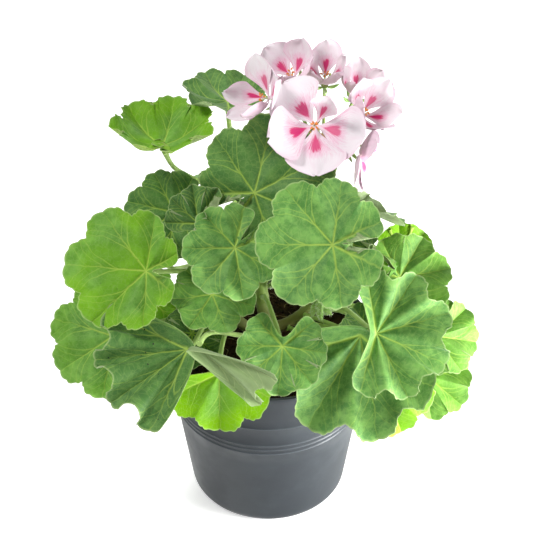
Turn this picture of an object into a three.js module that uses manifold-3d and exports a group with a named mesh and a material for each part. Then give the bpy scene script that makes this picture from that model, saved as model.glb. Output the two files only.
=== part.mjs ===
// A zonal geranium in a plain nursery pot. Millimetres, +Z up, with the origin at the centre of the
// pot's base. The plant's front looks towards -Y, and +X is on its right.

import * as THREE from 'three';
import { mergeVertices } from 'three/addons/utils/BufferGeometryUtils.js';
import Module from 'manifold-3d';

const wasm = await Module();
wasm.setup();

// Pot
const rimDiameter = 120;
const baseDiameter = 88;
const potHeight = 110;
const potWall = 1.6;
const rimWall = 2.6;
const rimDepth = 7;
const baseFillet = 8;
const footWidth = 5;
const padDiameter = 26;
const channelRise = 3;
const floorThickness = 2;
const ridgeHeights = [64, 67.5, 71, 85.5];
const ridgeWidth = 1.2;
const ridgeRise = 0.5;
const holeCount = 8;
const holeDiameter = 8;
const holeCircle = 52;

// Soil
const soilBelowRim = 10;
const soilMound = 3;
const clearance = 0.3;

// Stems
const rootDepth = 30;
const stemDiameter = 10;
const shootDiameter = 7;
const shootTipDiameter = 5;
const stalkDiameter = 4;
const pedicelDiameter = 1.8;
const calyxDiameter = 4.5;

// Leaves
const bladeThickness = 0.8;
const petioleDiameter = 2.6;
const petioleSides = 5;
const petioleSteps = 6;
const petioleSlant = 35;
const petioleNeck = 2.5;
const usualLobes = 7;
const notchDepth = 0.14;
const sinusLength = 5;
const bladeRings = [0.25, 0.62, 1];
const curlShare = 0.35;

// Flowers
const petals = 5;
const petalThickness = 0.6;
const petalSpread = 28;
const throatDiameter = 3;
const receptacleLength = 4;
const collarDepth = 1;
const calyxLength = 4;
const pedicelStraight = 8;

// Places on the plant are measured from the middle of the pot's rim, on a plant whose pot is the
// usual one, and the foliage spreads in proportion to its pot's rim.
const usualRimDiameter = 120;
const foliageScale = rimDiameter / usualRimDiameter;

const turnOf = THREE.MathUtils.degToRad;

function place([x, y, z]) {
  return new THREE.Vector3(x, y, z).multiplyScalar(foliageScale).setZ(potHeight + z * foliageScale);
}

function material(color, roughness) {
  return new THREE.MeshStandardMaterial({ color, roughness, metalness: 0, side: THREE.DoubleSide });
}

const potPlastic = material('#4a4f55', 0.5);
const peat = material('#2a1d15', 1);
const stemGreen = material('#7fa04a', 0.6);
const leafGreen = material('#4f8a35', 0.6);
const petalWhite = material('#f4dfe8', 0.5);
const budGreen = material('#8cb45c', 0.7);

// Solids and geometry

function toSolid(geometry) {
  const bare = geometry.clone();
  bare.deleteAttribute('normal');
  bare.deleteAttribute('uv');
  const merged = mergeVertices(bare, 1e-4);
  return new wasm.Manifold(new wasm.Mesh({
    numProp: 3,
    vertProperties: new Float32Array(merged.attributes.position.array),
    triVerts: new Uint32Array(merged.index.array),
  }));
}

function toGeometry(solid) {
  const mesh = solid.getMesh();
  return surface(mesh.vertProperties, mesh.triVerts);
}

function surface(coordinates, triangles) {
  const geometry = new THREE.BufferGeometry();
  geometry.setAttribute('position', new THREE.BufferAttribute(new Float32Array(coordinates), 3));
  geometry.setIndex(new THREE.BufferAttribute(new Uint32Array(triangles), 1));
  geometry.computeVertexNormals();
  return geometry;
}

// A closed skin grown ring by ring: every ring is a loop of points, and the ends are closed by fans.
class Skin {
  constructor() {
    this.points = [];
    this.triangles = [];
  }

  add(point) {
    this.points.push(point.x, point.y, point.z);
    return this.points.length / 3 - 1;
  }

  ring(points) {
    return points.map((point) => this.add(point));
  }

  fan(tip, ring) {
    ring.forEach((corner, i) => this.triangles.push(tip, corner, ring[(i + 1) % ring.length]));
  }

  band(upper, lower) {
    upper.forEach((corner, i) => {
      const next = (i + 1) % upper.length;
      this.triangles.push(corner, lower[i], lower[next]);
      this.triangles.push(corner, lower[next], upper[next]);
    });
  }

  // The same band with its quads split the other way, so a thin blade's two faces are split alike.
  mirroredBand(upper, lower) {
    upper.forEach((corner, i) => {
      const next = (i + 1) % upper.length;
      this.triangles.push(corner, lower[i], upper[next]);
      this.triangles.push(upper[next], lower[i], lower[next]);
    });
  }

  // A thin blade: its upper face grows from the apex out to the margin, and its lower face back in.
  blade(apex, loop, shares) {
    const upper = shares.map((share) => loop(share, 1));
    const lower = shares.slice(0, -1).map((share) => loop(share, -1)).toReversed();
    this.fan(this.add(apex), upper[0]);
    upper.slice(1).forEach((ring, i) => this.band(upper[i], ring));
    [upper.at(-1), ...lower].slice(0, -1).forEach((ring, i) => this.mirroredBand(ring, lower[i]));
    return lower.at(-1);
  }

  // Joins a ring of many points to a ring of few. `turns` says where each of the many stands, as a
  // share of a full turn from the first of the few.
  gather(many, few, turns) {
    const partner = (i) => Math.round(turns[i] * few.length) % few.length;
    many.forEach((corner, i) => {
      const next = (i + 1) % many.length;
      this.triangles.push(corner, few[partner(i)], many[next]);
      for (let at = partner(i); at !== partner(next); at = (at + 1) % few.length) {
        this.triangles.push(many[next], few[at], few[(at + 1) % few.length]);
      }
    });
  }

  geometry() {
    return surface(this.points, this.triangles);
  }
}

// A round tapering tube along a curve, from its start to its end, closed at both ends.
function limb(curve, startRadius, endRadius, sides, steps) {
  const frames = curve.computeFrenetFrames(steps, false);
  const skin = new Skin();
  const rings = frames.tangents.map((tangent, step) => {
    const centre = curve.getPointAt(step / steps);
    const radius = THREE.MathUtils.lerp(startRadius, endRadius, step / steps);
    return skin.ring(around(centre, frames.normals[step], frames.binormals[step], radius, sides));
  });
  skin.fan(skin.add(curve.getPointAt(1)), rings[steps]);
  for (let step = steps; step > 0; step -= 1) {
    skin.band(rings[step], rings[step - 1]);
  }
  skin.fan(skin.add(curve.getPointAt(0)), rings[0].toReversed());
  return skin.geometry();
}

function around(centre, first, second, radius, sides) {
  return Array.from({ length: sides }, (_, i) => {
    const angle = i * 2 * Math.PI / sides;
    return centre.clone()
      .addScaledVector(first, radius * Math.cos(angle))
      .addScaledVector(second, radius * Math.sin(angle));
  });
}

function revolve(profile, segments) {
  const points = profile.map(([radius, height]) => new THREE.Vector2(radius, height));
  return new THREE.LatheGeometry(points, segments).rotateX(Math.PI / 2);
}

// The pot

function outerRadius(height) {
  return THREE.MathUtils.lerp(baseDiameter, rimDiameter, height / potHeight) / 2;
}

function innerRadius(height) {
  return outerRadius(height) - potWall;
}

function ridge(height) {
  return [
    [outerRadius(height - ridgeWidth / 2), height - ridgeWidth / 2],
    [outerRadius(height) + ridgeRise, height],
    [outerRadius(height + ridgeWidth / 2), height + ridgeWidth / 2],
  ];
}

function filletedHeel() {
  const stepsRound = 4;
  return Array.from({ length: stepsRound + 1 }, (_, i) => {
    const angle = (i / stepsRound) * Math.PI / 2;
    const height = baseFillet * (1 - Math.cos(angle));
    return [outerRadius(height) - baseFillet * (1 - Math.sin(angle)), height];
  });
}

const floorHeight = channelRise + floorThickness;

function pot() {
  const heelRadius = outerRadius(0) - baseFillet;
  const floorRadius = innerRadius(floorHeight) - baseFillet / 2;
  const profile = [
    [0, 0],
    [padDiameter / 2, 0],
    [padDiameter / 2 + channelRise / 2, channelRise],
    [heelRadius - footWidth, channelRise],
    [heelRadius - footWidth + channelRise / 2, 0],
    ...filletedHeel(),
    ...ridgeHeights.flatMap(ridge),
    [outerRadius(potHeight), potHeight - rimWall / 4],
    [outerRadius(potHeight) - rimWall / 4, potHeight],
    [outerRadius(potHeight) - rimWall * 3 / 4, potHeight],
    [outerRadius(potHeight) - rimWall, potHeight - rimWall / 4],
    [outerRadius(potHeight) - rimWall, potHeight - rimDepth + rimWall],
    [innerRadius(potHeight - rimDepth), potHeight - rimDepth],
    [innerRadius(floorHeight + baseFillet / 2), floorHeight + baseFillet / 2],
    [floorRadius, floorHeight],
    [0, floorHeight],
  ];
  let solid = toSolid(revolve(profile, 48));
  for (let i = 0; i < holeCount; i += 1) {
    const drill = new THREE.CylinderGeometry(holeDiameter / 2, holeDiameter / 2, 4 * floorHeight, 12)
      .rotateX(Math.PI / 2)
      .translate(holeCircle / 2, 0, 0)
      .rotateZ(i * 2 * Math.PI / holeCount);
    solid = solid.subtract(toSolid(drill));
  }
  return toGeometry(solid);
}

// The soil, with the socket that the stem is planted in. It mounds up towards the stem: each shoulder
// is a share of the soil's radius and a share of the mound's height.

const soilTop = potHeight - soilBelowRim;
const moundShoulders = [[0.7, 0.6], [0.3, 1], [0, 1]];

function soil() {
  const bottom = floorHeight + clearance;
  const shoulder = floorHeight + baseFillet / 2 + clearance;
  const profile = [
    [0, bottom],
    [innerRadius(floorHeight) - baseFillet / 2 - 2 * clearance, bottom],
    [innerRadius(shoulder) - clearance, shoulder],
    [innerRadius(soilTop) - clearance, soilTop],
    ...moundShoulders.map(([out, up]) => [innerRadius(soilTop) * out, soilTop + soilMound * up]),
  ];
  const socketRadius = stemDiameter / 2 + clearance;
  const socketDepth = rootDepth + clearance;
  const socket = new THREE.CylinderGeometry(socketRadius, socketRadius, 2 * socketDepth, 16)
    .rotateX(Math.PI / 2)
    .translate(0, 0, soilTop);
  return toGeometry(toSolid(revolve(profile, 36)).subtract(toSolid(socket)));
}

// The woody stem and its green shoots. Each shoot is a curve that leaves grow from.

function shoot(points, startDiameter, endDiameter) {
  return {
    curve: new THREE.CatmullRomCurve3(points.map(place)),
    startRadius: startDiameter / 2,
    endRadius: endDiameter / 2,
  };
}

// The root reaches one set depth into the soil, however far the foliage spreads.
const root = [0, 0, -(soilBelowRim + rootDepth) / foliageScale];
const middlePath = [root, [0, 0, 0], [-4, 6, 30], [2, 14, 58], [10, 22, 84]];
const leftPath = [[0, 0, -2], [-14, -4, 8], [-26, -6, 28], [-30, -6, 52]];
const rightPath = [[0, 0, 0], [16, 4, 6], [30, 6, 22], [36, 6, 44]];
const shoots = {
  middle: shoot(middlePath, stemDiameter, shootTipDiameter),
  left: shoot(leftPath, shootDiameter, shootTipDiameter),
  right: shoot(rightPath, shootDiameter, shootTipDiameter),
};

function shootGeometry({ curve, startRadius, endRadius }) {
  return limb(curve, startRadius, endRadius, 10, 8);
}

function stem() {
  const [middle, left, right] = Object.values(shoots).map(shootGeometry).map(toSolid);
  return toGeometry(middle.add(left).add(right));
}

// Leaves. A blade is worked out flat, with its midrib along +X, its left side along +Y and its upper
// face up, and is then cupped, rippled and curled. The petiole hangs from the middle of its underside.
// Each lobe has two shoulders, a share of its width to each side of its middle, and a notch after it,
// and the last notch is the gap where the blade is open behind the petiole.

const shoulder = { inside: 0.22, outermost: 0.44, outermostReach: 0.9 };

function leafSpokes({ gap, lobes }) {
  const width = (360 - gap) / lobes;
  return Array.from({ length: lobes }, (_, lobe) => {
    const centre = (lobe - (lobes - 1) / 2) * width;
    const first = lobe === 0;
    const last = lobe === lobes - 1;
    return [
      {
        angle: centre - width * (first ? shoulder.outermost : shoulder.inside),
        reach: first ? shoulder.outermostReach : 1,
      },
      {
        angle: centre + width * (last ? shoulder.outermost : shoulder.inside),
        reach: last ? shoulder.outermostReach : 1,
      },
      {
        angle: last ? 180 : centre + width / 2,
        reach: last ? 0 : 1 - notchDepth,
      },
    ];
  }).flat();
}

function bladeRadius({ angle, reach }, { size, basal }) {
  const share = (1 + Math.cos(turnOf(angle))) / 2;
  return reach === 0 ? sinusLength : size * reach * THREE.MathUtils.lerp(basal, 1, share);
}

// Bends the part of a blade that lies beyond a line: `towards` is the line's outward direction,
// `start` its distance from the petiole as a share of the size, and `angle` how far it turns up.
function curled(point, { towards, start, angle }, size) {
  const direction = turnOf(towards);
  const along = point.x * Math.cos(direction) + point.y * Math.sin(direction) - start * size;
  if (along <= 0) {
    return point;
  }
  const across = point.y * Math.cos(direction) - point.x * Math.sin(direction);
  const length = curlShare * size;
  const bend = turnOf(angle) * Math.min(along / length, 1);
  const radius = length / turnOf(angle);
  const beyond = Math.max(along - length, 0);
  const reach = start * size + (radius - point.z) * Math.sin(bend) + beyond * Math.cos(bend);
  const rise = radius - (radius - point.z) * Math.cos(bend) + beyond * Math.sin(bend);
  return new THREE.Vector3(
    reach * Math.cos(direction) - across * Math.sin(direction),
    reach * Math.sin(direction) + across * Math.cos(direction),
    rise,
  );
}

function bladePoint(spoke, share, side, blade) {
  const { size, gap, lobes, cup, wave, curls } = blade;
  const inner = petioleDiameter / 2 + bladeThickness;
  const flat = inner + (bladeRadius(spoke, blade) - inner) * share;
  const angle = turnOf(spoke.angle);
  const arc = turnOf(cup) * flat / size;
  const radial = cup === 0 ? flat : flat * Math.sin(arc) / arc;
  const rise = cup === 0 ? 0 : flat * (1 - Math.cos(arc)) / arc;
  const ripple = wave * (flat / size) ** 2 * Math.cos(lobes * angle * 360 / (360 - gap));
  const offset = side * (share < 1 ? bladeThickness / 2 : 0);
  const height = rise + ripple + offset;
  const point = new THREE.Vector3(radial * Math.cos(angle), radial * Math.sin(angle), height);
  return curls.reduce((bentPoint, curl) => curled(bentPoint, curl, size), point);
}

// The petiole's centreline, from the blade down to the shoot, in the blade's own frame.
function petioleCurve(root, leaving, bow) {
  const pull = 0.38 * root.length();
  return new THREE.CubicBezierCurve3(
    new THREE.Vector3(0, 0, -bladeThickness / 2),
    new THREE.Vector3(0, 0, -pull).add(bow),
    root.clone().addScaledVector(leaving, pull).add(bow),
    root,
  );
}

function leafGeometry(leaf, root, leaving, bow) {
  const skin = new Skin();
  const spokes = leafSpokes(leaf);
  const loop = (share, side) => skin.ring(spokes.map((spoke) => bladePoint(spoke, share, side, leaf)));
  const underside = skin.blade(new THREE.Vector3(0, 0, bladeThickness / 2), loop, bladeRings);

  const curve = petioleCurve(root, leaving, bow);
  const start = petioleNeck / curve.getLength();
  let tangent = new THREE.Vector3(0, 0, -1);
  const first = new THREE.Vector3(-1, 0, 0);
  let previous = null;
  for (let step = 0; step <= petioleSteps; step += 1) {
    const share = THREE.MathUtils.lerp(start, 1, step / petioleSteps);
    const next = curve.getTangentAt(share);
    first.applyQuaternion(new THREE.Quaternion().setFromUnitVectors(tangent, next));
    tangent = next;
    const second = first.clone().cross(tangent);
    const points = around(curve.getPointAt(share), first, second, petioleDiameter / 2, petioleSides);
    const ring = skin.ring(points);
    if (previous) {
      skin.band(previous, ring);
    } else {
      skin.gather(underside, ring, spokes.map(({ angle: degrees }) => (degrees + 180) / 360));
    }
    previous = ring;
  }
  skin.fan(skin.add(curve.getPointAt(1)), previous.toReversed());
  return skin.geometry();
}

// The turned frame of a blade: `facing` is the compass direction and the height of the upper face's
// normal, 0 being the front and 90 the right, and `turn` swings the midrib from straight downhill.
function bladeTurn([compass, height], turn) {
  const level = Math.cos(turnOf(height));
  const normal = new THREE.Vector3(
    level * Math.sin(turnOf(compass)),
    -level * Math.cos(turnOf(compass)),
    Math.sin(turnOf(height)),
  );
  const downhill = new THREE.Vector3(0, 0, -1).projectOnPlane(normal).normalize();
  const midrib = downhill.applyAxisAngle(normal, turnOf(turn));
  const left = normal.clone().cross(midrib);
  return new THREE.Quaternion().setFromRotationMatrix(new THREE.Matrix4().makeBasis(midrib, left, normal));
}

function leafMesh(name, { at, facing, turn, from, bow = [0, 0, 0], ...blade }) {
  const [shootName, share] = from;
  const { curve, startRadius, endRadius } = shoots[shootName];
  const junction = place(at);
  const quaternion = bladeTurn(facing, turn);
  const toBlade = quaternion.clone().invert();
  const centre = curve.getPointAt(share);
  const along = curve.getTangentAt(share);
  const outwards = junction.clone().sub(centre).projectOnPlane(along).normalize();
  const slant = turnOf(petioleSlant);
  const leaving = outwards.clone().multiplyScalar(Math.cos(slant)).addScaledVector(along, Math.sin(slant));
  const shootRadius = THREE.MathUtils.lerp(startRadius, endRadius, share);
  const standoff = shootRadius + petioleDiameter / 2 * Math.sin(slant) + 2 * clearance;
  const root = centre.addScaledVector(outwards, standoff).sub(junction).applyQuaternion(toBlade);
  const { size, wave = 1.5, ...bends } = blade;
  const usual = { gap: 15, lobes: usualLobes, basal: 0.8, cup: 10, curls: [] };
  const geometry = leafGeometry(
    { ...usual, ...bends, size: size * foliageScale, wave: wave * foliageScale },
    root,
    leaving.applyQuaternion(toBlade),
    new THREE.Vector3(...bow).multiplyScalar(foliageScale).applyQuaternion(toBlade),
  );
  const mesh = new THREE.Mesh(geometry, leafGreen);
  mesh.name = name;
  mesh.position.copy(junction);
  mesh.quaternion.copy(quaternion);
  return mesh;
}

const leaves = {
  // upper tier
  leaf_01: {
    at: [-57, 20, 113], size: 36, facing: [180, 80], turn: -10, cup: 45, from: ['middle', 0.8],
    bow: [0, 6, 4],
  },
  leaf_02: { at: [-22, 50, 122], size: 28, facing: [180, 80], turn: 30, cup: 30, from: ['middle', 0.84] },
  leaf_03: { at: [-7, -6, 100], size: 47, facing: [-5, 40], turn: 120, basal: 0.6, from: ['middle', 0.9] },
  leaf_04: { at: [-51, 4, 80], size: 28, facing: [-15, 45], turn: -45, from: ['middle', 0.7] },
  leaf_05: { at: [-50, 8, 61], size: 15, facing: [-10, 45], turn: -60, from: ['left', 0.9] },
  leaf_06: {
    at: [-37, -17, 88], size: 21, facing: [0, 40], turn: 150, gap: 90, from: ['middle', 0.75],
    curls: [{ towards: -90, start: 0.1, angle: 110 }],
  },
  leaf_07: { at: [-17, -36, 86], size: 29, facing: [0, 45], turn: -40, from: ['middle', 0.65] },
  leaf_08: { at: [34, -44, 94], size: 41, facing: [0, 45], turn: -90, basal: 0.7, from: ['middle', 0.6] },
  // right side
  leaf_09: { at: [44, 18, 56], size: 18, facing: [10, 50], turn: 20, from: ['right', 0.9] },
  leaf_10: { at: [77, 38, 24], size: 20, facing: [20, 60], turn: 120, from: ['right', 0.45] },
  leaf_11: { at: [74, 8, 32], size: 30, facing: [15, 55], turn: 40, from: ['right', 0.75] },
  leaf_12: { at: [95, -11, 5], size: 25, facing: [35, 40], turn: 60, from: ['right', 0.6] },
  leaf_13: {
    at: [90, -23, -14], size: 26, facing: [30, 40], turn: 30, from: ['right', 0.5], bow: [0, 0, 10],
  },
  leaf_14: {
    at: [58, -56, 44], size: 41, facing: [10, 35], turn: 80, gap: 120, lobes: 6, basal: 0.7,
    from: ['right', 0.65],
  },
  leaf_15: {
    at: [50, -42, 31], size: 58, facing: [0, 40], turn: -10, gap: 200, lobes: 4, basal: 0.5,
    from: ['right', 0.4],
  },
  leaf_16: {
    at: [65, -44, -4], size: 30, facing: [15, 10], turn: 15, from: ['right', 0.3], bow: [0, 0, 12],
  },
  leaf_17: { at: [62, -20, 12], size: 24, facing: [0, 65], turn: -90, from: ['right', 0.2] },
  // front
  leaf_18: { at: [8, -58, 37], size: 27, facing: [0, 40], turn: -5, gap: 60, from: ['middle', 0.5] },
  leaf_19: {
    at: [-43, -56, 33], size: 50, facing: [-10, 45], turn: -62, gap: 244, lobes: 4, wave: 2.5,
    from: ['left', 0.6],
  },
  leaf_20: {
    at: [-26, -62, 21], size: 34, facing: [0, 10], turn: 0, gap: 190, lobes: 3, from: ['left', 0.4],
  },
  leaf_21: { at: [-30, -31, 51], size: 26, facing: [0, 65], turn: 20, from: ['left', 0.8] },
  leaf_22: { at: [-42, -22, 16], size: 20, facing: [0, 45], turn: 0, from: ['left', 0.5] },
  leaf_23: {
    at: [-37, -70, 46], size: 45, facing: [-10, 5], turn: 63, gap: 320, lobes: 2, wave: 1,
    from: ['left', 0.2],
  },
  // left side
  leaf_24: { at: [-85, -30, 21], size: 36, facing: [-20, 35], turn: -45, from: ['left', 0.55] },
  leaf_25: {
    at: [-65, -30, 66], size: 45, facing: [-20, 40], turn: -82, gap: 25, basal: 0.42, from: ['left', 0.95],
  },
  leaf_26: { at: [-65, 4, 19], size: 24, facing: [-20, 40], turn: -40, from: ['left', 0.3] },
  // back
  leaf_27: { at: [-40, 60, 60], size: 34, facing: [-140, 45], turn: 0, from: ['middle', 0.62] },
  leaf_28: { at: [5, 66, 72], size: 36, facing: [175, 50], turn: 20, from: ['middle', 0.72] },
  leaf_29: { at: [48, 55, 50], size: 34, facing: [140, 45], turn: -10, from: ['middle', 0.56] },
  leaf_30: { at: [-66, 44, 20], size: 30, facing: [-120, 40], turn: 0, from: ['left', 0.8] },
  leaf_31: { at: [-15, 72, 22], size: 34, facing: [-170, 35], turn: -15, from: ['middle', 0.5] },
  leaf_32: { at: [40, 68, 10], size: 32, facing: [150, 30], turn: 10, from: ['right', 0.6] },
};

// Flowers. A corolla is one skin of five petals round a throat, over a short receptacle. `lifts` says
// how far each petal rises from the flower's face, and the petals run anticlockwise from `turn`.

function corollaSpokes() {
  const step = 360 / petals;
  return Array.from({ length: petals }, (_, petal) => [
    { angle: (petal - 0.5) * step, reach: 0.3, petals: [(petal + petals - 1) % petals, petal] },
    { angle: petal * step - petalSpread, reach: 0.9, petals: [petal] },
    { angle: petal * step, reach: 1, petals: [petal] },
    { angle: petal * step + petalSpread, reach: 0.9, petals: [petal] },
  ]).flat();
}

function corollaPoint(spoke, share, side, { size, lifts }) {
  const inner = throatDiameter / 2;
  const length = inner + (spoke.reach * size - inner) * share;
  const lift = spoke.petals.reduce((sum, petal) => sum + lifts[petal], 0) / spoke.petals.length;
  const slope = turnOf(lift * (0.4 + 0.6 * share));
  const angle = turnOf(spoke.angle);
  const out = length * Math.cos(slope);
  const offset = side * (share < 1 ? petalThickness / 2 : 0);
  return new THREE.Vector3(out * Math.cos(angle), out * Math.sin(angle), length * Math.sin(slope) + offset);
}

function corollaGeometry(flower) {
  const skin = new Skin();
  const spokes = corollaSpokes();
  const loop = (share, side) => skin.ring(spokes.map((spoke) => corollaPoint(spoke, share, side, flower)));
  const underside = skin.blade(new THREE.Vector3(0, 0, petalThickness / 2), loop, bladeRings);
  const across = new THREE.Vector3(1, 0, 0);
  const up = new THREE.Vector3(0, 1, 0);
  const section = (height, radius) => {
    return skin.ring(around(new THREE.Vector3(0, 0, height), across, up, radius, petals));
  };
  const collar = section(-petalThickness - collarDepth, throatDiameter / 2);
  const foot = section(-receptacleLength, pedicelDiameter / 2);
  skin.gather(underside, collar, spokes.map(({ angle: degrees }) => (degrees + 360) / 360));
  skin.band(collar, foot);
  skin.fan(skin.add(new THREE.Vector3(0, 0, -receptacleLength)), foot.toReversed());
  return skin.geometry();
}

function corollaMesh(name, { at, size, facing, turn, lifts }) {
  const mesh = new THREE.Mesh(corollaGeometry({ size: size * foliageScale, lifts }), petalWhite);
  mesh.name = name;
  mesh.position.copy(place(at));
  mesh.quaternion.copy(bladeTurn(facing, turn));
  return mesh;
}

const flowers = {
  floret_1: { at: [25, 2, 138], size: 28, facing: [-5, 40], turn: 5, lifts: [10, 10, 60, 10, 25] },
  floret_2: { at: [1, 15, 146], size: 25, facing: [-65, 20], turn: 0, lifts: [60, 60, 20, 20, 60] },
  floret_3: { at: [14, 35, 146], size: 23, facing: [-40, 60], turn: 40, lifts: [60, 50, 40, 35, 60] },
  floret_4: { at: [31, 46, 138], size: 22, facing: [0, 70], turn: 30, lifts: [60, 60, 50, 55, 60] },
  floret_5: { at: [50, 23, 131], size: 24, facing: [50, 45], turn: 40, lifts: [50, 45, 50, 55, 50] },
  floret_6: { at: [49, 3, 121], size: 24, facing: [60, 5], turn: 0, lifts: [15, 25, 45, 45, 20] },
  floret_7: { at: [48, 44, 131], size: 20, facing: [45, 70], turn: 0, lifts: [60, 55, 50, 55, 60] },
};

// The flower stalk carries the umbel: one pedicel to each corolla, and a few closed buds between them.

const umbelCentre = [30, 24, 106];

function stalkTube(points, startDiameter, endDiameter) {
  const curve = new THREE.CatmullRomCurve3(points);
  return toSolid(limb(curve, startDiameter / 2, endDiameter / 2, 6, 5));
}

function bud(tip, base, diameter) {
  const axis = tip.clone().sub(base);
  const length = axis.length();
  const turned = new THREE.Quaternion().setFromUnitVectors(new THREE.Vector3(0, 0, 1), axis.normalize());
  const ellipsoid = new THREE.SphereGeometry(diameter / 2, 8, 6)
    .rotateX(Math.PI / 2)
    .scale(1, 1, length / diameter)
    .applyQuaternion(turned)
    .translate(...base.clone().lerp(tip, 0.5));
  return toSolid(ellipsoid);
}

function pedicel({ at, facing, turn }) {
  const normal = new THREE.Vector3(0, 0, 1).applyQuaternion(bladeTurn(facing, turn));
  const end = place(at).addScaledVector(normal, -receptacleLength - clearance);
  const swelling = end.clone().addScaledVector(normal, -calyxLength);
  const hub = place(umbelCentre);
  const bend = swelling.clone().addScaledVector(normal, -pedicelStraight).lerp(hub, 0.2);
  return stalkTube([hub, bend, swelling], pedicelDiameter, pedicelDiameter)
    .add(stalkTube([swelling, swelling.clone().lerp(end, 0.5), end], pedicelDiameter, calyxDiameter));
}

function flowerStalk() {
  const foot = shoots.middle.curve.getPointAt(1);
  const hub = place(umbelCentre);
  const lifted = foot.clone().add(new THREE.Vector3(0, 0, shootTipDiameter / 2 + clearance));
  let solid = stalkTube([lifted, lifted.clone().lerp(hub, 0.5), hub], stalkDiameter, stalkDiameter);
  Object.values(flowers).forEach((flower) => {
    solid = solid.add(pedicel(flower));
  });
  return toGeometry(solid);
}

// A young flower head: green buds that still nod from the end of their bent stalk.

const nodding = {
  from: ['middle', 0.42],
  crest: [24, -27, 50],
  bow: new THREE.Vector3(0, 0, 6),
  drop: new THREE.Vector3(0, 0, -3),
  reach: 5,
  stalkDiameter: 2.8,
  buds: 7,
  spread: 40,
  length: 11,
  diameter: 5,
};

function youngBuds() {
  const [shootName, share] = nodding.from;
  const { curve, startRadius, endRadius } = shoots[shootName];
  const crest = place(nodding.crest);
  const centre = curve.getPointAt(share);
  const outwards = crest.clone().sub(centre).setZ(0).normalize();
  const shootRadius = THREE.MathUtils.lerp(startRadius, endRadius, share);
  const foot = centre.addScaledVector(outwards, shootRadius + nodding.stalkDiameter + clearance);
  const rise = crest.clone().lerp(foot, 0.4).add(nodding.bow);
  const hub = crest.clone().addScaledVector(outwards, nodding.reach).add(nodding.drop);
  let solid = stalkTube([foot, rise, crest, hub], nodding.stalkDiameter, nodding.stalkDiameter);
  const down = outwards.clone().add(new THREE.Vector3(0.4, 0, -1.4)).normalize();
  const sideways = new THREE.Vector3(0, 0, 1).cross(down).normalize();
  for (let i = 0; i < nodding.buds; i += 1) {
    const angle = i * 2 * Math.PI / (nodding.buds - 1);
    const spread = i === nodding.buds - 1 ? 0 : nodding.spread;
    const axis = down.clone().applyAxisAngle(sideways, turnOf(spread)).applyAxisAngle(down, angle);
    const tip = hub.clone().addScaledVector(axis, nodding.length);
    solid = solid.add(bud(tip, hub.clone().addScaledVector(axis, -1), nodding.diameter));
  }
  return toGeometry(solid);
}

const plant = new THREE.Group();

function add(name, geometry, surfaceMaterial) {
  const mesh = new THREE.Mesh(geometry, surfaceMaterial);
  mesh.name = name;
  plant.add(mesh);
}

add('pot', pot(), potPlastic);
add('soil', soil(), peat);
add('stem', stem(), stemGreen);
Object.entries(leaves).forEach(([name, leaf]) => plant.add(leafMesh(name, leaf)));
add('flower_stalk', flowerStalk(), stemGreen);
add('young_buds', youngBuds(), budGreen);
Object.entries(flowers).forEach(([name, flower]) => plant.add(corollaMesh(name, flower)));

export default plant;
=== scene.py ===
# %% [markdown]
# # A potted geranium
# A zonal geranium in a nursery pot is thirty-odd soft leaves, each on its own stalk, a few fleshy
# stems, a head of pink and white flowers and a tapered plastic pot. The solid model already says
# where every leaf and flower stands and how it bends. This script grows a finer, living version of
# each of those solids in the same place, and then gives every surface its finish.

import math
import random

import bmesh
import bpy
import numpy as np
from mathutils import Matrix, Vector, noise


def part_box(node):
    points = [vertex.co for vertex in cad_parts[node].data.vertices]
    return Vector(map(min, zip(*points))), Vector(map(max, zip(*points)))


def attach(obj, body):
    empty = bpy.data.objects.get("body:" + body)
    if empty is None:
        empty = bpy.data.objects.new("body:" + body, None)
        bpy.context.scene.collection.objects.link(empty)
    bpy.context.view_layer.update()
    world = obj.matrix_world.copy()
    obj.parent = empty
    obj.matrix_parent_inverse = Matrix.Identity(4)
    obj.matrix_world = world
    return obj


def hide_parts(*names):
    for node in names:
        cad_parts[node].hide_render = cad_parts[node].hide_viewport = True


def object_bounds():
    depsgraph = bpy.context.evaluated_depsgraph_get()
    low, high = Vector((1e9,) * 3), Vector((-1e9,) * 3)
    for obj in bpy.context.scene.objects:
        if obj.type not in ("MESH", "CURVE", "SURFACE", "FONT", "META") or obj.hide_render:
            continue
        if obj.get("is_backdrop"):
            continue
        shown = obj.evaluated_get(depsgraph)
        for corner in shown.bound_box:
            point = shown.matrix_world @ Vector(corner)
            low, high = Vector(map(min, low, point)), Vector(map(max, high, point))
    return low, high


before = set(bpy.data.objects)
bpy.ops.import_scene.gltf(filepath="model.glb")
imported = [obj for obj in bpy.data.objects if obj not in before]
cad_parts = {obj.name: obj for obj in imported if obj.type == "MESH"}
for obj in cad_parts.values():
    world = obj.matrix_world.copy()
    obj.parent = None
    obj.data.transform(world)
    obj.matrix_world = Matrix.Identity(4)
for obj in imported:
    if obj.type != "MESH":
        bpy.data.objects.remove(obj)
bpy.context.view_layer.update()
mm = 0.001
print("solids in the frame:", len(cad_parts))

# %% [markdown]
# ## Camera, light and floor
# The plant is looked down on from about forty degrees, from over a metre away, so the perspective is
# gentle. The light is a studio's: a white room all round, a large soft lamp high on the left, a
# weaker one on the right, a small low one that puts a shine on the side of the pot, and one behind
# that lights the leaves from the back; the light that comes through them is painted into their
# colour. The room is plain white to the camera and dimmer to the plant.

# %% Camera
scene = bpy.context.scene
scene.view_settings.view_transform = "Standard"

target = Vector((4, 0, 150)) * mm
elevation = math.radians(37.8)
distance = 1100 * mm


def stand(name, data, place=(0, 0, 0), aim=None):
    """Puts a new object in the scene, and turns a camera or a lamp towards its aim."""
    made = bpy.data.objects.new(name, data)
    scene.collection.objects.link(made)
    made.location = place
    if aim is not None:
        made.rotation_euler = (aim - made.location).to_track_quat("-Z", "Y").to_euler()
    return made


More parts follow.
